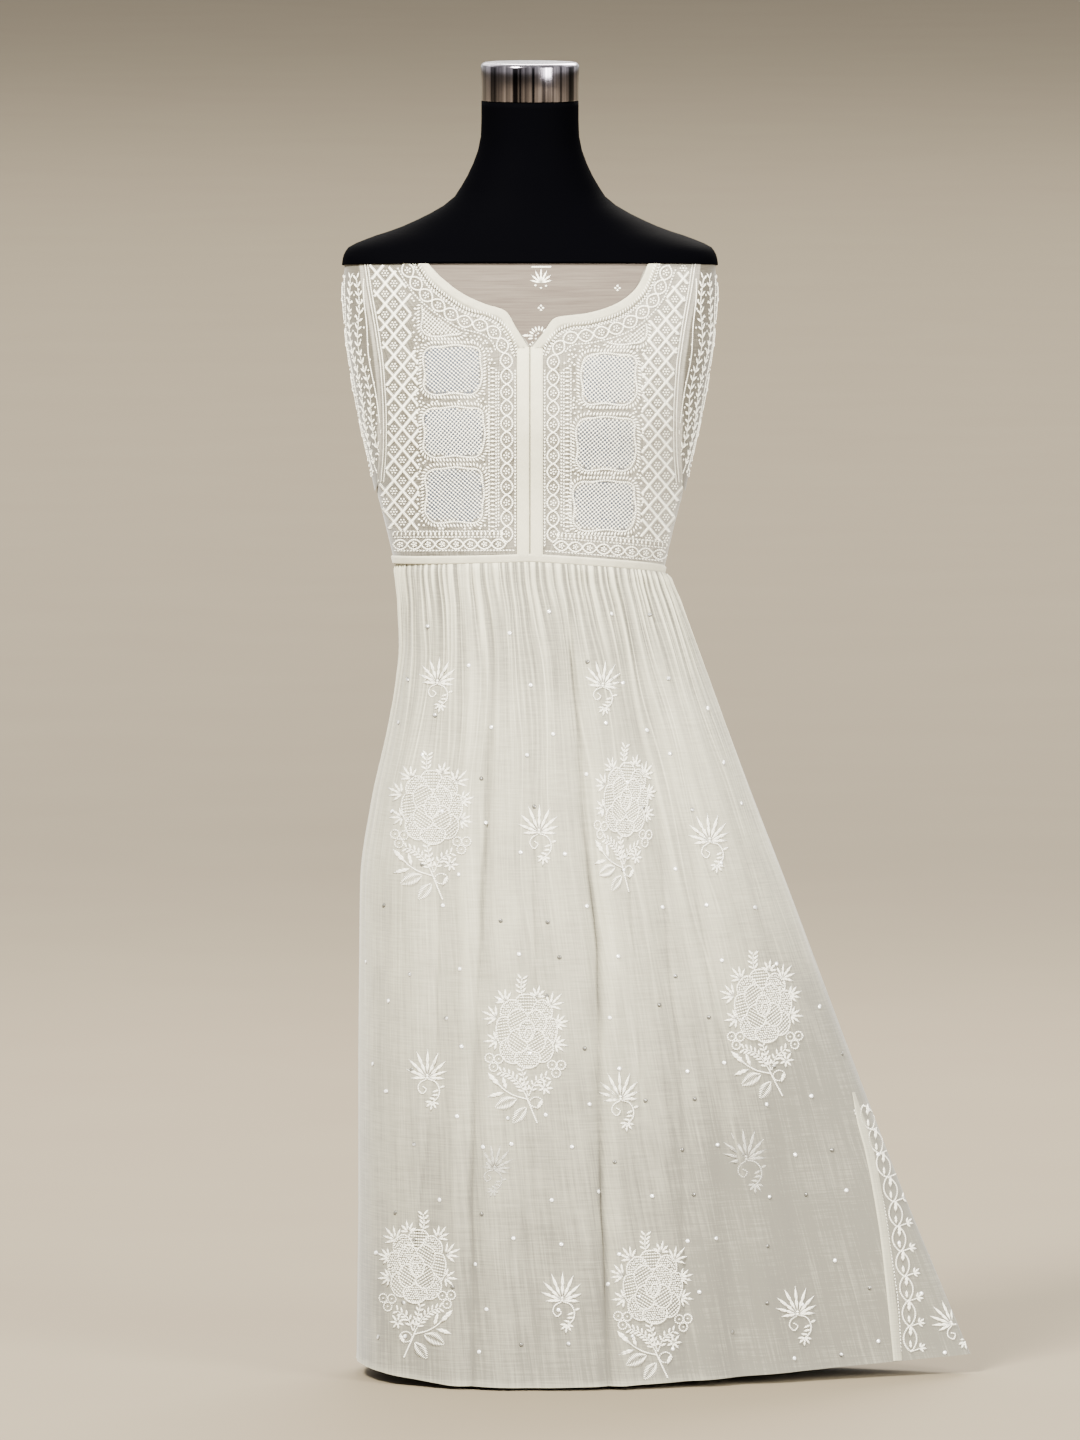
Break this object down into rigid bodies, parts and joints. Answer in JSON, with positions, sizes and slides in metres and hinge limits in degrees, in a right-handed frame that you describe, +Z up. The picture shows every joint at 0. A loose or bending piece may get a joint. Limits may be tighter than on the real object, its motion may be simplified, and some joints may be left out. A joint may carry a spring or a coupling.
{
  "type": "chikankari kurta on a limbless dress form",
  "caption": "Ankle-length muslin kurta with an embroidered yoke, slit neck, cap sleeves and a gathered skirt flared to one side, worn on a limbless dress form with a pole stand.",
  "frame": {"origin": "centre of the stand base's underside, on the floor", "axes": "+Z up, the kurta's front faces -Y, +X to the viewer's right, where the skirt flares"},
  "size_m": [0.6289, 0.3386, 1.314],
  "materials": {
    "muslin": "sheer ivory cotton muslin, matte",
    "trim": "cream cotton, folded and pressed",
    "inset": "beige slubbed cotton, matte",
    "form_linen": "linen cover, matte",
    "form_black": "black, soft gloss",
    "chrome_cap": "bright chrome",
    "stand_steel": "satin"
  },
  "bodies": {
    "root": {"yoke_front_right": "muslin", "yoke_front_left": "muslin", "yoke_back": "muslin", "skirt_front": "muslin", "skirt_back": "muslin", "sleeve_right": "muslin", "sleeve_left": "muslin", "neck_inset": "inset", "neck_binding_right": "trim", "neck_binding_left": "trim", "placket_right": "trim", "placket_left": "trim", "waist_band_front": "trim", "waist_band_back": "trim", "side_seam_band": "trim", "form_torso": "form_linen", "form_shoulders": "form_black", "neck_cap": "chrome_cap", "stand_pole": "stand_steel", "stand_base": "stand_steel"}
  },
  "joints": []
}
